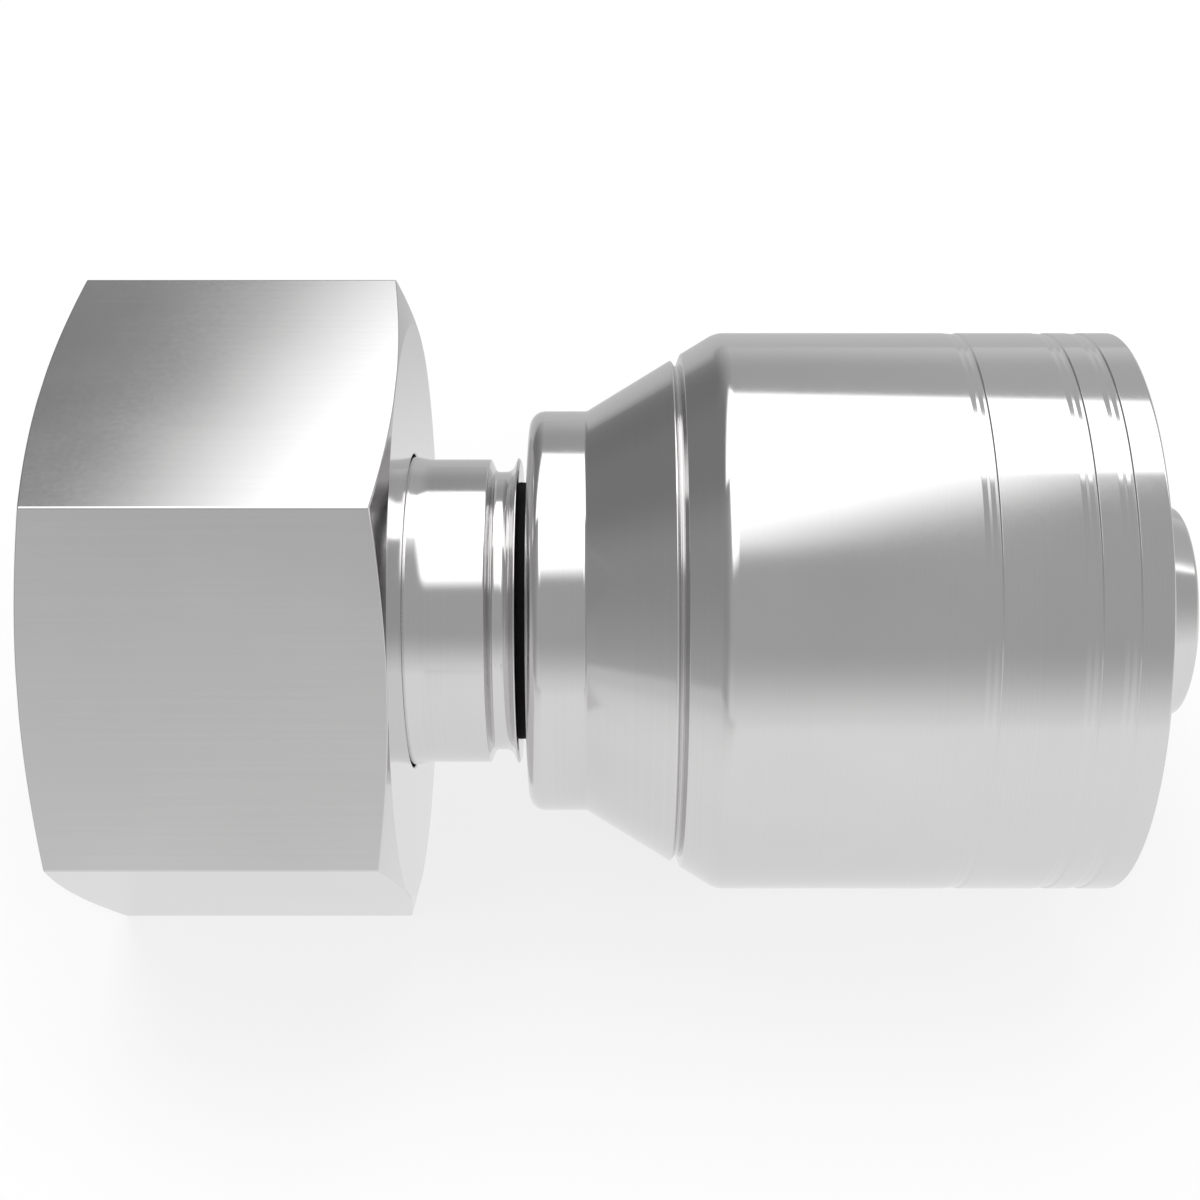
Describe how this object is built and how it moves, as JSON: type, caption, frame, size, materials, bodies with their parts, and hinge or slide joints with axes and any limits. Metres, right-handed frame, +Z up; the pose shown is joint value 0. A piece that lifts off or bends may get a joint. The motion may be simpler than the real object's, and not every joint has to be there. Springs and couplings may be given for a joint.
{
  "type": "hose fitting",
  "caption": "Crimp hose fitting: hexagonal swivel union nut on a turned stem, with a stepped crimp shell and barbed nipple for the hose.",
  "frame": {"origin": "on the floor under the middle of the fitting", "axes": "+X along the fitting's axis, from the union nut to the hose end; +Z up, with one flat of the nut on the floor"},
  "size_m": [0.0868, 0.0532, 0.046],
  "materials": {
    "nut_steel": "bright plated steel, turned ends and drawn flats",
    "stem_steel": "bright plated steel, turned",
    "shell_steel": "bright plated steel, finely turned",
    "seal": "black nitrile rubber"
  },
  "bodies": {
    "hose_end": {"stem": "stem_steel", "crimp_shell": "shell_steel", "o_ring": "seal"},
    "nut": {"union_nut": "nut_steel"}
  },
  "joints": [
    {"name": "nut_swivel", "type": "hinge", "parent": "hose_end", "child": "nut", "pos_m": [-0.03047, 0, 0.023], "axis": [1, 0, 0], "continuous": true}
  ]
}
